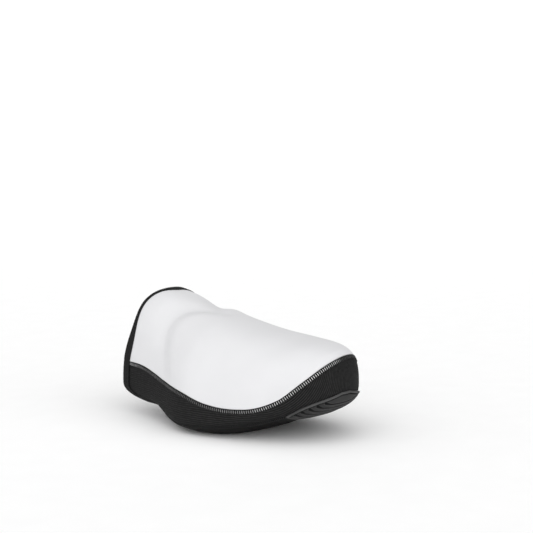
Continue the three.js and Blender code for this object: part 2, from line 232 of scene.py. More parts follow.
def turn_of(point):
    at = section(point[..., 1])
    up = point[..., 2] >= at["widest"]
    t = (point[..., 2] - at["widest"]) / np.where(up, at["rise"], at["drop"])
    c = -(point[..., 0] - at["centre"] - np.where(up, at["lean"] * t * t, 0)) / at["half"]
    return np.arctan2(t, c)


def sole_turn(back, x):
    at = section(back)
    across = (x - at["centre"]) / at["half"]
    t = (1 - np.minimum(1, np.abs(across)) ** SOLE_POWER) ** (1 / SOLE_POWER)
    return np.arctan2(-t, -across)


def is_inside(x, back, z):
    at = section(back)
    up = z >= at["widest"]
    t = np.abs(z - at["widest"]) / np.maximum(np.where(up, at["rise"], at["drop"]), 1e-9)
    power = np.where(up, CROWN_POWER, SOLE_POWER)
    shift = np.where(up, at["lean"] * t * t, 0)
    width = at["half"] * (1 - np.minimum(t, 1) ** power) ** (1 / power)
    return (back > 0) & (t < 1) & (np.abs(x - at["centre"] - shift) < width)


SEARCH_REACH, SEARCH_STEPS = 90.0, 40      # how far out the form is looked for, and how finely
SETTLE_STEPS = 12


def fan_point(round_, z):
    """Where a level line, fanned round the toe, leaves the form at height z."""
    angle = round_ / FAN_ROUND * QUARTER
    centre = section(FAN_BACK)["centre"]
    inside, outside = np.zeros_like(angle + z), np.full_like(angle + z, SEARCH_REACH)
    for _ in range(SEARCH_STEPS):
        r = (inside + outside) / 2
        hit = is_inside(centre + r * np.sin(angle), FAN_BACK - r * np.cos(angle), z)
        inside, outside = np.where(hit, r, inside), np.where(hit, outside, r)
    x, back = centre + inside * np.sin(angle), FAN_BACK - inside * np.cos(angle)
    return np.stack(np.broadcast_arrays(x, back, z), -1)


def mouth_line(turn, column):
    return look_up(MOUTH, MOUTH_COLUMNS, column, np.clip(turn, MOUTH[0, 0], MOUTH[-1, 0]))


def mouth_edge(turn):
    t = squared(turn)[1]
    level = MOUTH_SIDE - np.where(t > 0, CROWN_CUT * t**2, ARCH_CUT * np.abs(t) ** 3)
    return level + mouth_line(turn, "swing")


def from_mouth(turn, distance):
    """How far back a place lies that is this far inside the mouth's edge, square to it."""
    step = 0.01
    edge = mouth_edge(turn)
    length = np.linalg.norm(skin(edge, turn + step) - skin(edge, turn - step), axis=-1)
    slant = (mouth_edge(turn + step) - mouth_edge(turn - step)) / length
    return edge - distance * np.hypot(1, slant)


def seam_height(round_, v, shift):
    low, top = (look_up(SEAMS, SEAM_COLUMNS, c, round_) for c in ("low", "top"))
    return mix(low, top, v) + shift


def side_place(side, along, v, shift):
    """back and turn on the side strip: along runs from the toe's fan (0) to the mouth (1)."""
    height = lambda back: seam_height(side * (FAN_ROUND + back - FAN_BACK), v, shift)
    end = np.full(np.broadcast(along, v).shape, float(MOUTH_SIDE))
    for _ in range(SETTLE_STEPS):
        end = from_mouth(turn_at(end, height(end), side), TUCK)
    back = mix(FAN_BACK, end, along)
    return back, turn_at(back, height(back), side)


def strip_place(station, v, shift=0.0):
    """back and turn by station: 0 to 1 outer side, 1 to 2 round the toe, 2 to 3 inner side."""
    station, v, shift = np.broadcast_arrays(*(np.asarray(a, float) for a in (station, v, shift)))
    round_ = mix(-FAN_ROUND, FAN_ROUND, np.clip(station, 1, 2) - 1)
    point = fan_point(round_, seam_height(round_, v, shift))
    back, turn = point[..., 1].copy(), turn_of(point)
    for side, along, chosen in ((-1, 1 - station, station < 1), (1, station - 2, station > 2)):
        back[chosen], turn[chosen] = side_place(side, along[chosen], v[chosen], shift[chosen])
    return back, turn


# ---- meshes -----------------------------------------------------------------------------------

# Where the form stands in the frame: its mouth's rearmost edge and its outermost side are known.
BACKS = np.linspace(1, MOUTH_SIDE, 800)
OUTERMOST = (section(BACKS)["centre"] - section(BACKS)["half"]).min()
ORIGIN = np.array([
    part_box("side_strip")[0].x - OUTERMOST * MM,
    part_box("rear_binding")[1].y - MOUTH_SIDE * MM,
    0.0,
])


def placed(points):
    return points * MM + ORIGIN


def mesh_object(name, vertices, faces, uvs=None):
    mesh = bpy.data.meshes.new(name)
    mesh.from_pydata(vertices.tolist(), [], faces.tolist() if hasattr(faces, "tolist") else faces)
    mesh.polygons.foreach_set("use_smooth", [True] * len(mesh.polygons))
    if uvs is not None:
        layer = mesh.uv_layers.new(name="cloth")
        index = np.empty(len(mesh.loops), int)
        mesh.loops.foreach_get("vertex_index", index)
        layer.data.foreach_set("uv", uvs[index].astype(np.float32).ravel())
    mesh.validate()
    mesh.update()
    obj = bpy.data.objects.new(name, mesh)
    bpy.context.scene.collection.objects.link(obj)
    return obj


def lighten(obj, values):
    """Gives each vertex the share of its finish's lighter colour."""
    layer = obj.data.attributes.new("light", "FLOAT", "POINT")
    layer.data.foreach_set("value", values.astype(np.float32))


def grid_faces(number, closed=False):
    """Quads of a 2-D array of vertex numbers; closed joins the last line to the first."""
    a = number
    b = np.roll(number, -1, 0)
    if not closed:
        a, b = a[:-1], b[:-1]
    return np.stack([a[:, :-1], b[:, :-1], b[:, 1:], a[:, 1:]], -1).reshape(-1, 4)


def unique_grid(top, bottom, shared):
    """Vertex numbers of two grids whose shared places use one vertex, and which are kept."""
    bottom = np.where(shared, top, bottom)
    kept, compact = np.unique(np.concatenate([top.ravel(), bottom.ravel()]), return_inverse=True)
    compact = compact.ravel()
    return compact[:top.size].reshape(top.shape), compact[top.size:].reshape(top.shape), kept


def edge_distance(points, closed):
    """How far each vertex of a grid lies from the grid's open edges, along its lines."""
    rows = np.linalg.norm(np.diff(points, axis=1), axis=-1)
    run = np.concatenate([np.zeros((len(points), 1)), np.cumsum(rows, 1)], 1)
    near = np.minimum(run, run[:, -1:] - run)
    if not closed:
        lines = np.linalg.norm(np.diff(points, axis=0), axis=-1)
        run = np.concatenate([np.zeros((1, points.shape[1])), np.cumsum(lines, 0)], 0)
        near = np.minimum(near, np.minimum(run, run[-1:] - run))
    return near


def cloth(name, back, turn, relief, rim, lining=0.0, closed=False, uvs=None):
    """A cloth panel on the form, its edges rounded over rim. relief and lining thicken its faces."""
    points, out = skin(back, turn), normal(back, turn)
    near = edge_distance(points, closed)
    curl = 1 - np.sqrt(np.clip(1 - (1 - np.clip(near / rim, 0, 1)) ** 2, 0, 1))
    over = (relief + WALL / 2) * (1 - curl) - WALL / 2
    under = -(lining + WALL / 2) * (1 - curl) - WALL / 2
    vertices = np.concatenate([
        (points + out * lift[..., None]).reshape(-1, 3) for lift in np.broadcast_arrays(over, under)
    ])
    number = np.arange(near.size).reshape(near.shape)
    top, bottom, kept = unique_grid(number, number + near.size, near < 1e-9)
    outer_faces, inner_faces = grid_faces(top, closed), grid_faces(bottom, closed)[:, ::-1]
    if uvs is None:
        uvs = np.stack([np.cumsum(np.ones_like(near), 0), near], -1)
    uvs = np.concatenate([uvs.reshape(-1, 2)] * 2)[kept]
    obj = mesh_object(name, placed(vertices[kept]), np.concatenate([outer_faces, inner_faces]), uvs)
    inside = np.arange(len(obj.data.polygons)) >= len(outer_faces)
    obj.data.polygons.foreach_set("material_index", inside.astype(np.int32))
    return obj


THREAD_SIDES = 6


def threads(name, paths, up, radius, light=None):
    """Short threads, each a tube along its own row of points, closed at both ends."""
    count, steps = paths.shape[:2]
    along = unit(np.gradient(paths, axis=1))
    across = unit(np.cross(along, up))
    above = np.cross(across, along)
    t = np.linspace(-1, 1, steps)
    thick = radius * np.sqrt(np.clip(1 - np.abs(t) ** 6, 0.03, 1))[None, :, None, None]
    angle = np.linspace(0, 2 * math.pi, THREAD_SIDES, endpoint=False)[None, None, :, None]
    ring = np.cos(angle) * across[:, :, None] + np.sin(angle) * above[:, :, None]
    vertices = paths[:, :, None] + ring * thick
    number = np.arange(count * steps * THREAD_SIDES).reshape(count, steps, THREAD_SIDES)
    a = np.concatenate([number, number[:, :, :1]], 2)
    quads = np.stack([a[:, :-1, :-1], a[:, :-1, 1:], a[:, 1:, 1:], a[:, 1:, :-1]], -1).reshape(-1, 4)
    faces = quads.tolist() + number[:, 0, ::-1].tolist() + number[:, -1].tolist()
    obj = mesh_object(name, placed(vertices.reshape(-1, 3)), faces)
    if light is not None:
        lighten(obj, np.repeat(light, steps * THREAD_SIDES))
    return obj


EDGE_STEPS = np.array([0, 0.06, 0.15, 0.3, 0.5, 0.8, 1.2, 1.8])


def spread(count, length):
    """0 to 1 in count steps, and fine steps at both ends of the length, which is in mm."""
    ends = EDGE_STEPS / length
    return np.concatenate([ends[:-1], np.linspace(ends[-1], 1 - ends[-1], count), 1 - ends[:-1][::-1]])


def runs(places):
    """Lengths along a line of points, from its start."""
    return np.concatenate([[0], np.cumsum(np.linalg.norm(np.diff(places, axis=0), axis=-1))])


STATIONS = np.linspace(0, 3, 1500)
TOP_RUN = runs(skin(*strip_place(STATIONS, 1.0)))
LOW_RUN = runs(skin(*strip_place(STATIONS, 0.0)))


def evenly(run, pitch, clear=0.0):
    """Stations a pitch apart along one of the two seams, that far clear of its ends."""
    length = run[-1] - 2 * clear
    return np.interp(clear + np.linspace(0, length, round(length / pitch)), run, STATIONS)


def round_of(station):
    """Distance round the toe, as the seam table counts it."""
    reach = MOUTH_SIDE - FAN_BACK
    fan = mix(-FAN_ROUND, FAN_ROUND, np.clip(station, 1, 2) - 1)
    return fan - np.maximum(1 - station, 0) * reach + np.maximum(station - 2, 0) * reach


# ---- the white panel ----------------------------------------------------------------------------

FRONT_CORNER = 0.2         # share of the fan at which the panel's front side turns into its sides
EDGE_ROLL = 0.15           # the white cloth's cut edge stands this proud of the strip


def upper_cloth():
    """A four-sided patch whose front side follows the top seam round the toe."""
    t, r = spread(150, 125)[:, None], spread(190, 165)[None, :]
    places = dict(
        front=strip_place(mix(1 + FRONT_CORNER, 2 - FRONT_CORNER, t[:, 0]), 1.0, shift=0.1),
        outer=strip_place(mix(1 + FRONT_CORNER, 0, r[0]), 1.0, shift=0.1),
        inner=strip_place(mix(2 - FRONT_CORNER, 3, r[0]), 1.0, shift=0.1),
    )
    rear_turn = mix(places["outer"][1][-1], places["inner"][1][-1], t[:, 0])
    places["rear"] = from_mouth(rear_turn, TUCK), rear_turn
    patch = []
    for value in (0, 1):
        front, outer, inner, rear = (places[k][value] for k in ("front", "outer", "inner", "rear"))
        corners = mix(mix(front[0], front[-1], t), mix(rear[0], rear[-1], t), r)
        patch.append(mix(front[:, None], rear[:, None], r) + mix(outer[None], inner[None], t) - corners)
    return cloth("upper_cloth", *patch, relief=EDGE_ROLL, rim=0.8)


# ---- the side strip -----------------------------------------------------------------------------

RIB_BEND, RIB_MIDDLE = 15, 9   # radius, at floor height, and middle of the bend the strip is cut to


def strip_cloth():
    """Its uv map is the flat horseshoe it is cut from, in mm, its ribs running along the legs."""
    station = evenly(TOP_RUN, 1.3)
    back, turn = strip_place(station[:, None], spread(34, 28)[None])
    height = skin(back, turn)[..., 2]
    round_ = round_of(station)[:, None] - RIB_MIDDLE
    angle = np.clip(round_ / FAN_ROUND, -1, 1) * QUARTER
    leg = np.maximum(np.abs(round_) - FAN_ROUND, 0)
    radius = RIB_BEND + height
    uvs = np.stack([radius * np.sin(angle), radius * np.cos(angle) - leg], -1)
    return cloth("strip_cloth", back, turn, relief=-0.05, rim=0.5, uvs=uvs)


def below_seam(station, below, lift, along=0.0):
    """Points this far below the top seam, square to it, and lifted off the cloth; and the way out."""
    run = np.interp(station, STATIONS, TOP_RUN)
    seam = [skin(*strip_place(np.interp(run + step, TOP_RUN, STATIONS), 1.0)) for step in (-0.5, 0.5)]
    top = (seam[0] + seam[1]) / 2
    tenth = skin(*strip_place(station, 0.9)) - top
    slope = (unit(seam[1] - seam[0]) * unit(tenth)).sum(-1)
    straight = np.sqrt(1 - slope**2)
    station = np.interp(run + along - below * slope / straight, TOP_RUN, STATIONS)
    back, turn = strip_place(station, 1 - below / straight / (10 * np.linalg.norm(tenth, axis=-1)))
    out = normal(back, turn)
    return skin(back, turn) + out * np.asarray(lift)[..., None], out


# The top seam's flat stitching: the table sets how pale its thread is by place along the seam, palest
# round the toe and by the mouth.
SEAM_END = 1.5             # threads start this far inside a seam's ends
STITCH_PITCH, STITCH_RADIUS, STITCH_LIFT = 1.7, 0.21, 0.05
STITCH_FROM, STITCH_TO = 0.45, 2.9
LOOP_HALF = 0.7
STITCH_LIGHT = np.array([
    [0, 0.6],
    [10, 0.6],
    [24, 0.2],
    [100, 0.2],
    [140, 0.38],
    [165, 0.8],
    [190, 1],
    [227, 1],
    [233, 0.08],
    [262, 0.08],
    [275, 0.7],
    [320, 0.3],
])


def seam_stitches():
    """Pale thread strokes across the top seam's allowance, caught at both ends by a dark one."""
    station = evenly(TOP_RUN, STITCH_PITCH, SEAM_END)
    run = np.interp(station, STATIONS, TOP_RUN)
    light = np.interp(run, STITCH_LIGHT[:, 0], STITCH_LIGHT[:, 1])
    light = light * np.random.default_rng(5).uniform(0.7, 1.15, len(run))
    t = np.linspace(0, 1, 9)[None]
    arch = np.sin(math.pi * t)
    below = mix(STITCH_FROM, STITCH_TO, t)
    stroke, out = below_seam(station[:, None], below, STITCH_LIFT + 0.2 * arch)
    return threads("seam_stitches", stroke, out, STITCH_RADIUS, light)


def looper_threads():
    """The dark thread that runs in loops along both ends of the strokes."""
    station = evenly(TOP_RUN, STITCH_PITCH, SEAM_END)[:, None]
    t = np.linspace(0, 1, 8)[None]
    arch = np.sin(math.pi * t)
    along = mix(-LOOP_HALF, LOOP_HALF, t)
    low = below_seam(station, STITCH_TO + 0.3 * arch, 0.1 + 0.25 * arch, along)
    high = below_seam(station, STITCH_FROM - 0.25 * arch, STITCH_LIFT + 0.2 * arch, along)
    paths, out = (np.concatenate(pair) for pair in zip(low, high))
    return threads("looper_threads", paths, out, 0.2)


def seam_allowance(name, v, below, above):
    """Overlocked allowance of a seam, a narrow band laid flat over it inside."""
    station = evenly(TOP_RUN, 1.3)
    height = mix(-below, above, np.linspace(0, 1, 12))[None]
    back, turn = strip_place(station[:, None], v, shift=height)
    return cloth(name, back, turn, relief=-WALL - 0.1, rim=0.8, lining=0.7)


OVERLOCK_PITCH, OVERLOCK_HALF, OVERLOCK_RADIUS = 1.5, 1.3, 0.3


def low_seam_threads():
    """Black overlocking across the seam between the strip and the sole, kept off the floor."""
    station = evenly(LOW_RUN, OVERLOCK_PITCH, SEAM_END)[:, None]
    t = np.linspace(-1, 1, 9)[None]
    back, turn = strip_place(station, 0.0, shift=OVERLOCK_HALF * t)
    out = normal(back, turn)
    lift = STITCH_LIFT + 0.3 * np.sqrt(1 - 0.9 * t * t)
    paths = skin(back, turn) + out * lift[..., None]
    paths[..., 2] = np.maximum(paths[..., 2], OVERLOCK_RADIUS + 0.05)
    return threads("low_seam_threads", paths, out, OVERLOCK_RADIUS)


# ---- the sole -----------------------------------------------------------------------------------

HEM, HEM_THICK = 5.0, 0.9  # turned-in hem round the cleat opening
HEM_STITCH = 3.6           # its stitch row, from the opening's edge
HEM_GROOVE = dict(depth=0.22, width=0.5)
HEM_PITCH, HEM_HALF = 2.6, 0.95


def sole_rim():
    """The sole's outer edge: the low seam round the toe, then inside the binding under the arch."""
    station = evenly(LOW_RUN, 1.4)
    back, turn = strip_place(station, 0.0, shift=-0.1)
    arch = mix(turn[-1], turn[0] + 2 * math.pi, np.linspace(0, 1, 62)[1:-1])
    return np.concatenate([back, from_mouth(arch, TUCK)]), np.concatenate([turn, arch])


def cleat_reach(x, y):
    """How many times a step from the cleat opening's middle goes into the way to its edge."""
    sides = ((x, "half_width"), (y, "half_length"))
    return sum(np.abs(v / CLEAT[half]) ** CLEAT["power"] for v, half in sides) ** (-1 / CLEAT["power"])


def cleat_line(back, turn):
    """For each place on the sole, the place on the cleat opening's edge in line with it."""
    x, y = skin(back, turn)[..., 0] - CLEAT["x"], back - CLEAT["back"]
    reach = cleat_reach(x, y)
    return CLEAT["x"] + x * reach, CLEAT["back"] + y * reach


def sole_cloth():
    rim_back, rim_turn = sole_rim()
    hole_x, hole_back = cleat_line(rim_back, rim_turn)
    rim_x = skin(rim_back, rim_turn)[..., 0]
    share = spread(54, 52)[None]
    back = mix(hole_back[:, None], rim_back[:, None], share)
    turn = sole_turn(back, mix(hole_x[:, None], rim_x[:, None], share))
    turn[:, -1] = rim_turn
    back[:, -1] = rim_back
    points = skin(back, turn)
    from_hole = np.cumsum(np.linalg.norm(np.diff(points, axis=1, prepend=points[:, :1]), axis=-1), 1)
    pinch = HEM_GROOVE["depth"] * np.exp(-(((from_hole - HEM_STITCH) / HEM_GROOVE["width"]) ** 2))
    hem = HEM_THICK * (1 - smooth((from_hole - HEM + 0.4) / 0.8))
    return cloth("sole_cloth", back, turn, relief=-pinch, rim=0.7, lining=hem, closed=True)


def hem_stitches():
    """A row of black thread in the groove round the cleat opening."""
    angle = np.linspace(0, 2 * math.pi, 800)
    ring = np.stack([np.cos(angle), np.sin(angle)], -1)
    reach = cleat_reach(*ring.T) + HEM_STITCH
    line = ring * reach[:, None] + [CLEAT["x"], CLEAT["back"]]
    run = runs(line)
    middle = np.linspace(0, run[-1], round(run[-1] / HEM_PITCH), endpoint=False)[:, None]
    t = np.linspace(-1, 1, 8)[None]
    x, back = (np.interp((middle + HEM_HALF * t) % run[-1], run, line[:, k]) for k in (0, 1))
    turn = sole_turn(back, x)
    out = normal(back, turn)
    lift = -0.12 - 0.25 * t**4
    return threads("hem_stitches", skin(back, turn) + out * lift[..., None], out, 0.2)


# ---- the binding --------------------------------------------------------------------------------

FOLD = 1.45                # radius of the fold over the mouth's edge
TAPE, TAPE_EDGE = 0.75, 0.3
BINDING_STITCH = 6.4       # from the mouth's edge
BINDING_GROOVE = dict(depth=0.28, width=0.55)
BINDING_PITCH = 2.9
MEASURED_LINE = 14         # the line of its profile along which the tape is measured


def mouth_turns(pitch):
    """Turns round the mouth, evenly spaced along it."""
    turn = np.linspace(0, 2 * math.pi, 1600)
    run = runs(skin(mouth_edge(turn), turn))
    return np.interp(np.linspace(0, run[-1], round(run[-1] / pitch), endpoint=False), run, turn)


def on_tape(turn, distance):
    """How far back a line of the tape lies, given its distance from the fold where it is widest."""
    rolled = mix(FOLD, distance, mouth_line(turn, "tape"))
    return from_mouth(turn, np.where(distance > FOLD, rolled, distance))


def binding():
    """Tape folded over the mouth's edge, its raw edges rolled and its stitch row pulled in."""
    turn = mouth_turns(1.1)[:, None]
    slot, end = FOLD - TAPE, TAPE_WIDTH - TAPE_EDGE
    outer_leg, outer_arc = np.linspace(end, FOLD, 22), np.linspace(QUARTER, -QUARTER, 13)[1:-1]
    inner_leg, inner_arc = np.linspace(end, FOLD, 6), np.linspace(QUARTER, -QUARTER, 7)[1:-1]
    raw_edge = [(TAPE_WIDTH, slot + TAPE_EDGE / 2), (TAPE_WIDTH, FOLD - TAPE_EDGE / 2)]
    profile = np.array(
        [(d, FOLD) for d in outer_leg]
        + [(FOLD * (1 - math.cos(a)), FOLD * math.sin(a)) for a in outer_arc]
        + [(d, -FOLD) for d in outer_leg[::-1]]
        + [(d, -lift) for d, lift in raw_edge[::-1]]
        + [(d, -slot) for d in inner_leg]
        + [(FOLD - slot * math.cos(a), -slot * math.sin(a)) for a in inner_arc]
        + [(d, slot) for d in inner_leg[::-1]]
        + raw_edge
    )
    distance, lift = profile[:, 0][None], profile[:, 1][None]
    face = np.sign(lift) * (np.abs(lift) > FOLD - TAPE / 2)
    run = np.arange(len(turn))[:, None]
    ripple = 0.07 * np.sin(run * 0.83) * np.sin(run * 0.29 + 1) * np.clip(distance / 4, 0, 1)
    groove = (distance - BINDING_STITCH) / BINDING_GROOVE["width"]
    pull = BINDING_GROOVE["depth"] * np.exp(-(groove**2))
    lift = lift + face * (ripple - pull) - WALL / 2
    back = on_tape(turn, distance)
    points = skin(back, turn) + normal(back, turn) * lift[..., None]
    number = np.arange(lift.size).reshape(lift.shape)
    number = np.concatenate([number, number[:, :1]], 1)
    steps = np.linalg.norm(np.diff(points, axis=0, prepend=points[-1:]), axis=-1)
    along = np.cumsum(steps, 0)[:, MEASURED_LINE, None]
    uvs = np.stack(np.broadcast_arrays(along, runs(profile)[None]), -1).reshape(-1, 2)
    return mesh_object("binding", placed(points.reshape(-1, 3)), grid_faces(number, True), uvs)


def binding_stitches():
    """Black thread along the binding, outside and inside."""
    turn = mouth_turns(0.25)
    run = runs(skin(on_tape(turn, BINDING_STITCH), turn))
    middle = np.linspace(SEAM_END, run[-1] - SEAM_END, round(run[-1] / BINDING_PITCH))[:, None]
    t = np.linspace(-1, 1, 8)[None]
    turn = np.interp(middle + t, run, turn)
    back = on_tape(turn, BINDING_STITCH)
    out = normal(back, turn)
    rise = FOLD - 0.2 - 0.2 * t**4
    paths = [skin(back, turn) + out * (-WALL / 2 + side * rise)[..., None] for side in (1, -1)]
    return threads("binding_stitches", np.concatenate(paths), np.concatenate([out, -out]), 0.22)


# ---- the toe grip -------------------------------------------------------------------------------

GRIP = dict(x=8, start=0.2, end=1.52, half_width=34, power=1.9)
GROOVES = np.array([0.625, 0.8, 0.975, 1.15, 1.315])      # as rolls round the toe's underside
GROOVE_HALF, GROOVE_BOW = 0.95, 0.035
BORDER, CHANNEL = 1.15, 0.9
GRIP_BACK, GRIP_BASE, GRIP_LAND, GRIP_BORDER = 0.1, 0.3, 1.35, 1.6     # heights over the cloth
GRIP_BEVEL = 0.3


def grip_half(roll):
    back = TOE_SOLE * (1 - np.cos(roll))
    first = TOE_SOLE * (1 - math.cos(GRIP["start"]))
    reach = TOE_SOLE * (1 - math.cos(GRIP["end"]))
    return GRIP["half_width"] * rounded(back - first + 0.25, reach, GRIP["power"])


def grip_point(roll, offset):
    back = TOE_SOLE * (1 - np.cos(roll))
    turn = sole_turn(back, GRIP["x"] + offset)
    return skin(back, turn), normal(back, turn)


def toe_grip():
    """Moulded rubber wrapped under the toe: a raised border round grooved land."""
    roll = mix(GRIP["start"], GRIP["end"], spread(150, 40))[:, None]
    share = mix(-1, 1, spread(260, 68))[None]
    half = grip_half(roll)
    offset = half * share
    points, out = grip_point(roll, offset)
    outline = np.concatenate([points[0], points[-1], points[:, 0], points[:, -1]])[::2]
    inset = np.full(points.shape[:2], 1e3)
    for part in np.array_split(outline, 40):
        gap = np.linalg.norm(points[:, :, None] - part[None, None], axis=-1).min(-1)
        inset = np.minimum(inset, gap)
    inset[[0, -1]] = 0
    inset[:, [0, -1]] = 0
    girth = np.linalg.norm(np.diff(points, axis=0), axis=-1).sum(0).mean()
    mm_per_roll = girth / (roll[-1] - roll[0])[0]
    depth, painted_light_share = np.zeros_like(inset), np.zeros_like(inset)
    for line in GROOVES:
        bow = line + GROOVE_BOW * (1 - (offset / GRIP["half_width"]) ** 2)
        end = grip_half(np.array(line)) - BORDER - CHANNEL - 1.2
        beyond = np.maximum(np.abs(offset) - end, 0)
        blunt = 0.35 * np.exp(-np.maximum(end - np.abs(offset), 0) / 1.5)
        away = np.hypot((roll - bow) * mm_per_roll, beyond)
        depth = np.maximum(depth, 1 - smooth((away - GROOVE_HALF - blunt) / GRIP_BEVEL))
        # painted highlight: thin pale lines along both edges of each groove
        painted_light_share = np.maximum(painted_light_share, np.exp(-(((away - GROOVE_HALF - 0.55) / 0.35) ** 2)))
    land = mix(GRIP_LAND, GRIP_BASE, depth)
    rim = smooth((inset - BORDER) / GRIP_BEVEL)
    channel = rim * (1 - smooth((inset - BORDER - CHANNEL) / GRIP_BEVEL))
    height = mix(GRIP_BORDER - 0.12 * (2 * inset / BORDER - 1) ** 2, land, rim)
    height = mix(height, GRIP_BASE, channel)
    edge = np.sqrt(np.clip(1 - (1 - np.clip(inset / 0.5, 0, 1)) ** 2, 0, 1))
    over = GRIP_BACK + (height - GRIP_BACK) * edge
    vertices = np.concatenate([
        (points + out * lift[..., None]).reshape(-1, 3) for lift in np.broadcast_arrays(over, GRIP_BACK)
    ])
    number = np.arange(inset.size).reshape(inset.shape)
    top, bottom, kept = unique_grid(number, number + inset.size, inset < 1e-9)
    obj = mesh_object("grip", placed(vertices[kept]),
                      np.concatenate([grid_faces(top)[:, ::-1], grid_faces(bottom)]))
    # Colour share with painted light and shade: the border painted palest as a highlight, the grooves
    # and the channel painted dark as shade, the land in between with its painted groove-edge
    # highlights; the back gets none.
    raised = (1 - rim) + rim * (1 - depth) * (1 - channel) * (0.4 + 0.45 * painted_light_share)
    lighten(obj, np.concatenate([raised, 0 * rim]).ravel()[kept])
    return obj


# ---- materials ----------------------------------------------------------------------------------

class Finish:
    """A material on one shader, with procedural nodes added to it one by one."""

    def __init__(self, name, **constants):
        self.material = bpy.data.materials.new(name)
        self.material.use_nodes = True
        self.tree = self.material.node_tree
        self.shader = self.tree.nodes["Principled BSDF"]
        for key, value in constants.items():
            self.shader.inputs[key.replace("_", " ")].default_value = value

    def add(self, kind, inputs=(), **settings):
        node = self.tree.nodes.new(kind)
        for key, value in settings.items():
            setattr(node, key, value)
        for key, value in dict(inputs).items():
            self.put(value, node.inputs[key])
        return node

    def put(self, value, socket):
        if isinstance(value, bpy.types.NodeSocket):
            self.tree.links.new(value, socket)
        else:
            socket.default_value = value

    def where(self, source):
        """Places on the surface: source is Object, in metres, or cloth, the uv map in mm."""
        if source == "Object":
            return self.add("ShaderNodeTexCoord").outputs["Object"]
        return self.add("ShaderNodeUVMap", uv_map=source).outputs["UV"]

    def noise(self, where, scale, detail=3.0, roughness=0.5):
        node = self.add("ShaderNodeTexNoise",
                        {"Vector": where, "Scale": scale, "Detail": detail, "Roughness": roughness})
        return node.outputs["Fac"]

    def math(self, operation, a, b=0.0, c=0.0):
        return self.add("ShaderNodeMath", {0: a, 1: b, 2: c}, operation=operation).outputs[0]

    def stripes(self, coordinate, pitch):
        """0 to 1 and back once every pitch of a coordinate."""
        turn = self.math("MULTIPLY", coordinate, 2 * math.pi / pitch)
        return self.math("MULTIPLY_ADD", self.math("COSINE", turn), 0.5, 0.5)

    def split(self, vector):
        return self.add("ShaderNodeSeparateXYZ", {"Vector": vector}).outputs

    def span(self, value, low, high, to_low=0.0, to_high=1.0):
        node = self.add("ShaderNodeMapRange", {
            "Value": value, "From Min": low, "From Max": high, "To Min": to_low, "To Max": to_high})
        return node.outputs["Result"]

    def blend(self, factor, dark, light):
        node = self.add("ShaderNodeMix", data_type="RGBA")
        for index, value in ((0, factor), (6, dark), (7, light)):
            self.put(value, node.inputs[index])
        return node.outputs[2]

    def bump(self, height, distance, under=None):
        inputs = {"Height": height, "Distance": distance}
        if under is not None:
            inputs["Normal"] = under
        return self.add("ShaderNodeBump", inputs).outputs["Normal"]

    def end(self, colour, roughness, normal_):
        self.put(colour, self.shader.inputs["Base Color"])
        self.put(roughness, self.shader.inputs["Roughness"])
        self.put(normal_, self.shader.inputs["Normal"])
        return self.material


def grey(value, cool=0.0):
    return (value, value, value * (1 + cool), 1.0)


def coated_finish():
    """Satin white coating over a fine knit, a little uneven where it is stretched."""
    f = Finish("coated_white", Specular_IOR_Level=0.15)
    at = f.where("Object")
    x, y, z = f.split(at)
    broad, grain = f.noise(at, 28.0, 2.0), f.noise(at, 1900.0, 2.0)
    run = f.math("ADD", x, f.math("MULTIPLY", z, 0.9))
    knit = f.math("MULTIPLY", f.stripes(run, 0.0008), f.stripes(y, 0.0008))
    colour = f.blend(f.span(broad, 0.3, 0.7), grey(0.65, 0.018), grey(0.675, 0.018))
    normal_ = f.bump(f.noise(at, 60.0, 3.0), 0.00035)
    normal_ = f.bump(knit, 0.00002, normal_)
    normal_ = f.bump(grain, 0.00003, normal_)
    return f.end(colour, f.span(grain, 0.3, 0.7, 0.42, 0.54), normal_)


def lining_finish():
    """Brushed black jersey inside."""
    f = Finish("lining_black", Specular_IOR_Level=0.15, Sheen_Weight=0.05, Sheen_Roughness=0.6)
    at = f.where("Object")
    _, y, _ = f.split(at)
    fuzz = f.noise(at, 900.0, 5.0, 0.7)
    course = f.stripes(f.math("ADD", y, f.math("MULTIPLY", fuzz, 0.0006)), 0.0011)
    colour = f.blend(f.span(fuzz, 0.3, 0.75), grey(0.018), grey(0.055))
    return f.end(colour, 0.92, f.bump(course, 0.00008, f.bump(fuzz, 0.0003)))


def ribbed_finish():
    """Black stretch rib: fine raised wales, each a row of small knit loops."""
    f = Finish("ribbed_black", Specular_IOR_Level=0.12)
    cloth_at, at = f.where("cloth"), f.where("Object")
    u, v, _ = f.split(cloth_at)
    drift = f.math("MULTIPLY", f.noise(at, 160.0, 2.0), 0.55)
    rib = f.stripes(f.math("ADD", u, drift), 1.6)
    lean = f.math("MULTIPLY", f.math("ABSOLUTE", f.math("SUBTRACT", rib, 0.5)), 0.5)
    loops = f.stripes(f.math("ADD", v, lean), 0.62)
    fuzz = f.noise(at, 2600.0, 3.0, 0.6)
    relief = f.math("ADD", rib, f.math("MULTIPLY", loops, 0.25))
    opened = f.span(v, -90.0, 0.0, 0.35, 1.0)
    patchy = f.span(f.noise(at, 420.0, 3.0, 0.6), 0.3, 0.7, 0.45, 1.25)
    light = f.math("MULTIPLY", f.math("MULTIPLY", rib, opened), patchy)
    light = f.math("ADD", light, f.span(fuzz, 0.25, 0.7, 0.0, 0.2))
    light = f.math("ADD", light, f.math("MULTIPLY", f.math("SUBTRACT", 1.0, opened), 0.3))
    colour = f.blend(light, grey(0.0015), grey(0.028))
    normal_ = f.bump(fuzz, 0.00006, f.bump(relief, 0.0003))
    return f.end(colour, f.span(fuzz, 0.3, 0.7, 0.7, 0.9), normal_)


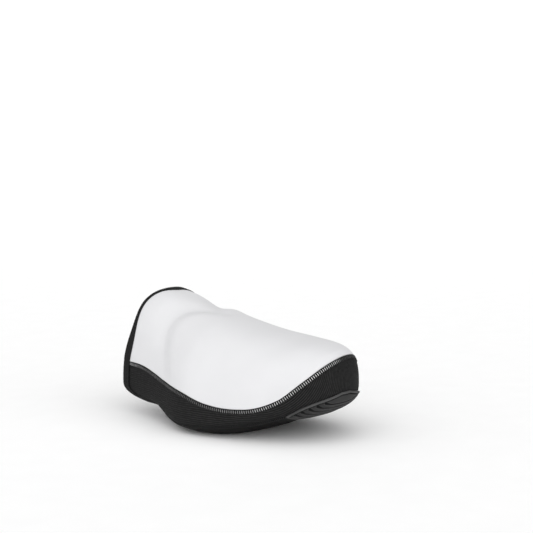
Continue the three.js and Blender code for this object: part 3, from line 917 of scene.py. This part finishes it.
def sole_finish():
    """Tight black plain weave, paler on its high threads, patchily."""
    f = Finish("sole_black", Specular_IOR_Level=0.12)
    at = f.where("Object")
    x, y, _ = f.split(at)
    warp, weft = f.stripes(x, 0.0011), f.stripes(y, 0.0011)
    over = f.stripes(f.math("ADD", x, y), 0.0022)
    under = f.math("SUBTRACT", 1.0, over)
    weave = f.math("MAXIMUM", f.math("MULTIPLY", warp, over), f.math("MULTIPLY", weft, under))
    fuzz = f.noise(at, 1500.0, 4.0, 0.65)
    scuff = f.noise(at, 70.0, 4.0, 0.6)
    light = f.math("MULTIPLY", weave, f.span(scuff, 0.35, 0.75, 0.5, 1.0))
    colour = f.blend(light, grey(0.006), grey(0.024))
    normal_ = f.bump(fuzz, 0.00005, f.bump(weave, 0.00018))
    return f.end(colour, f.span(fuzz, 0.3, 0.7, 0.72, 0.92), normal_)


def tape_finish():
    """Black elastic tape with fine cross ribs."""
    f = Finish("tape_black", Specular_IOR_Level=0.12)
    u, v, _ = f.split(f.where("cloth"))
    at = f.where("Object")
    fuzz = f.noise(at, 2200.0, 3.0, 0.6)
    rib = f.stripes(f.math("ADD", u, f.math("MULTIPLY", v, 0.12)), 0.62)
    wale = f.stripes(v, 0.8)
    woven = f.math("ADD", f.math("MULTIPLY", rib, 0.6), f.math("MULTIPLY", wale, 0.4))
    light = f.math("MULTIPLY", woven, f.span(fuzz, 0.3, 0.7, 0.5, 1.0))
    colour = f.blend(light, grey(0.007), grey(0.022))
    relief = f.math("ADD", rib, f.math("MULTIPLY", wale, 0.5))
    normal_ = f.bump(fuzz, 0.00005, f.bump(relief, 0.00012))
    return f.end(colour, f.span(fuzz, 0.3, 0.7, 0.7, 0.88), normal_)


def rubber_finish():
    """Moulded rubber, its colour set by the light attribute: painted highlights on the border and along
    the grooves' edges, painted shade in the grooves and the channel, varied by random wear.
    """
    f = Finish("grip_rubber", Specular_IOR_Level=0.1)
    at = f.where("Object")
    light = f.add("ShaderNodeAttribute", attribute_name="light").outputs["Fac"]
    grain, wear = f.noise(at, 1700.0, 3.0, 0.6), f.noise(at, 120.0, 4.0, 0.6)
    # painted light and shade from the light attribute, varied by random wear
    painted_light_share = f.math("MULTIPLY", light, f.span(wear, 0.3, 0.7, 0.75, 1.1))
    colour = f.blend(painted_light_share, grey(0.002), grey(0.08))
    return f.end(colour, f.span(wear, 0.3, 0.7, 0.5, 0.66), f.bump(grain, 0.00006))


def thread_finish(name, dark, light, attribute):
    """Twisted sewing thread."""
    f = Finish(name, Specular_IOR_Level=0.2)
    at = f.where("Object")
    fibre = f.noise(at, 5000.0, 2.0)
    share = f.add("ShaderNodeAttribute", attribute_name="light").outputs["Fac"] if attribute else 0.5
    colour = f.blend(f.math("MULTIPLY", share, f.span(fibre, 0.3, 0.7, 0.85, 1.05)), dark, light)
    return f.end(colour, 0.6, f.bump(fibre, 0.00005))


# ---- pieces -------------------------------------------------------------------------------------

def dress(obj, finishes, nodes=()):
    """Puts a piece on the frame with its finishes."""
    for finish in finishes:
        obj.data.materials.append(finish)
    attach(obj, "root")
    if nodes:
        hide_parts(*nodes)


lining = lining_finish()
black_thread = thread_finish("thread_black", grey(0.006), grey(0.03), False)
white_thread = thread_finish("thread_pale", grey(0.012), grey(0.78), True)
dress(upper_cloth(), [coated_finish(), lining], ["upper_panel"])
dress(strip_cloth(), [ribbed_finish(), lining], ["side_strip"])
dress(sole_cloth(), [sole_finish(), lining], ["sole_panel"])
dress(binding(), [tape_finish()], ["rear_binding"])
dress(toe_grip(), [rubber_finish()], ["toe_grip"])
dress(seam_allowance("top_allowance", 1.0, 3.5, 3.0), [lining, lining])
dress(seam_allowance("low_allowance", 0.0, 2.5, 3.0), [lining, lining])
dress(seam_stitches(), [white_thread])
dress(looper_threads(), [black_thread])
dress(low_seam_threads(), [black_thread])
dress(hem_stitches(), [black_thread])
dress(binding_stitches(), [black_thread])


# ---- camera, floor and light --------------------------------------------------------------------

CAMERA_AT, CAMERA_DOWN, CAMERA_TURN = (-0.6521, -0.6688, 0.2185), 5.9, -45.5
FOCAL, SENSOR = 83.3, 36


def camera():
    data = bpy.data.cameras.new("camera")
    data.lens, data.sensor_width = FOCAL, SENSOR
    obj = bpy.data.objects.new("camera", data)
    bpy.context.scene.collection.objects.link(obj)
    obj.location = CAMERA_AT
    obj.rotation_euler = (math.radians(90 - CAMERA_DOWN), 0, math.radians(CAMERA_TURN))
    bpy.context.scene.camera = obj


FLOOR_HALF = 6.0
BACKDROP = (1.5, 4.5, 2.0)   # its nearer and farther place on either axis, and its height
BACKDROP_LIGHT = 1.02


def stage_sheet(name, corners, finish):
    obj = mesh_object(name, np.array(corners, float), [[0, 1, 2, 3]])
    obj.data.materials.append(finish)


def stage():
    """A pale floor, and behind it a white light panel square to the camera."""
    f = Finish("floor_pale", Specular_IOR_Level=0.1)
    at = f.where("Object")
    speck = f.noise(at, 40.0, 3.0)
    colour = f.blend(f.span(speck, 0.3, 0.7), grey(0.965), grey(0.98))
    f.end(colour, 0.85, f.bump(speck, 0.0001))
    s, near, far, high = FLOOR_HALF, *BACKDROP
    stage_sheet("floor", [[-s, -s, 0], [s, -s, 0], [s, s, 0], [-s, s, 0]], f.material)
    glow = dict(Emission_Color=grey(1.0), Emission_Strength=BACKDROP_LIGHT)
    panel = Finish("panel_white", Base_Color=grey(0.0), **glow)
    corners = [[near, far, 0], [far, near, 0], [far, near, high], [near, far, high]]
    stage_sheet("backdrop", corners, panel.material)


FILL, KEY = 0.385, 1.83      # the light's strength away from and towards its large side
KEY_DIRECTION = (-0.66, -0.50, 0.56)


def studio():
    """White light from all round, stronger from one large soft side."""
    world = bpy.data.worlds.new("studio")
    bpy.context.scene.world = world
    world.use_nodes = True
    tree = world.node_tree
    direction = tree.nodes.new("ShaderNodeTexCoord").outputs["Generated"]
    facing = tree.nodes.new("ShaderNodeVectorMath")
    facing.operation = "DOT_PRODUCT"
    facing.inputs[1].default_value = KEY_DIRECTION
    tree.links.new(direction, facing.inputs[0])
    strength = tree.nodes.new("ShaderNodeMapRange")
    tree.links.new(facing.outputs["Value"], strength.inputs["Value"])
    for key, value in {"From Min": 0, "From Max": 1, "To Min": FILL, "To Max": KEY}.items():
        strength.inputs[key].default_value = value
    background = tree.nodes["Background"]
    background.inputs["Color"].default_value = (1, 1, 1, 1)
    tree.links.new(strength.outputs["Result"], background.inputs["Strength"])


camera()
stage()
studio()
bpy.context.scene.view_settings.view_transform = "Standard"
